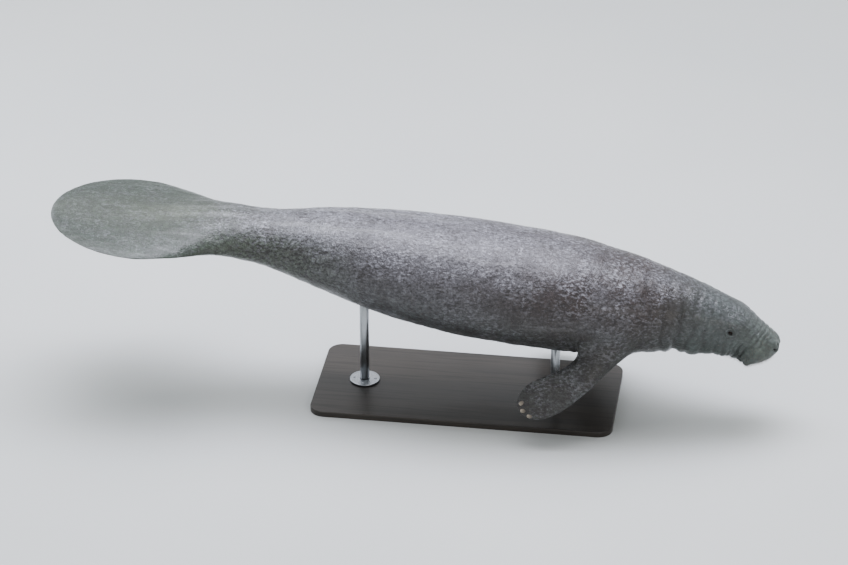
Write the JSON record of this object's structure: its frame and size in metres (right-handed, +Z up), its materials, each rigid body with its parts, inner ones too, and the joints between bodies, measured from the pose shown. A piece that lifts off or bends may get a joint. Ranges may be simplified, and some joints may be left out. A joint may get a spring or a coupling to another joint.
{
  "type": "manatee",
  "caption": "Life-size still model of a manatee in a shallow downward glide, with paddle tail and flippers, held by rods on a flat display base.",
  "frame": {"origin": "middle of the underside of the stand's base", "axes": "+X towards the snout, +Y to the animal's left, +Z up"},
  "size_m": [2.9757, 0.7722, 0.7897],
  "materials": {
    "hide": "wet grey-brown hide, finely speckled and wrinkled",
    "nail": "worn horn",
    "eye": "dark glossy eye",
    "stand_steel": "brushed stainless steel",
    "stand_board": "dark stain under satin lacquer on birch plywood"
  },
  "bodies": {
    "root": {"muzzle": "hide", "lower_jaw": "hide", "head": "hide", "neck": "hide", "trunk": "hide", "tail_stock": "hide", "tail_fan": "hide", "flipper_left": "hide", "flipper_right": "hide", "nail_left_1": "nail", "nail_left_2": "nail", "nail_left_3": "nail", "nail_right_1": "nail", "nail_right_2": "nail", "nail_right_3": "nail", "eye_left": "eye", "eye_right": "eye", "stand_base": "stand_board", "stand_rod_front": "stand_steel", "stand_rod_rear": "stand_steel", "stand_flange_front": "stand_steel", "stand_flange_rear": "stand_steel"}
  },
  "joints": []
}
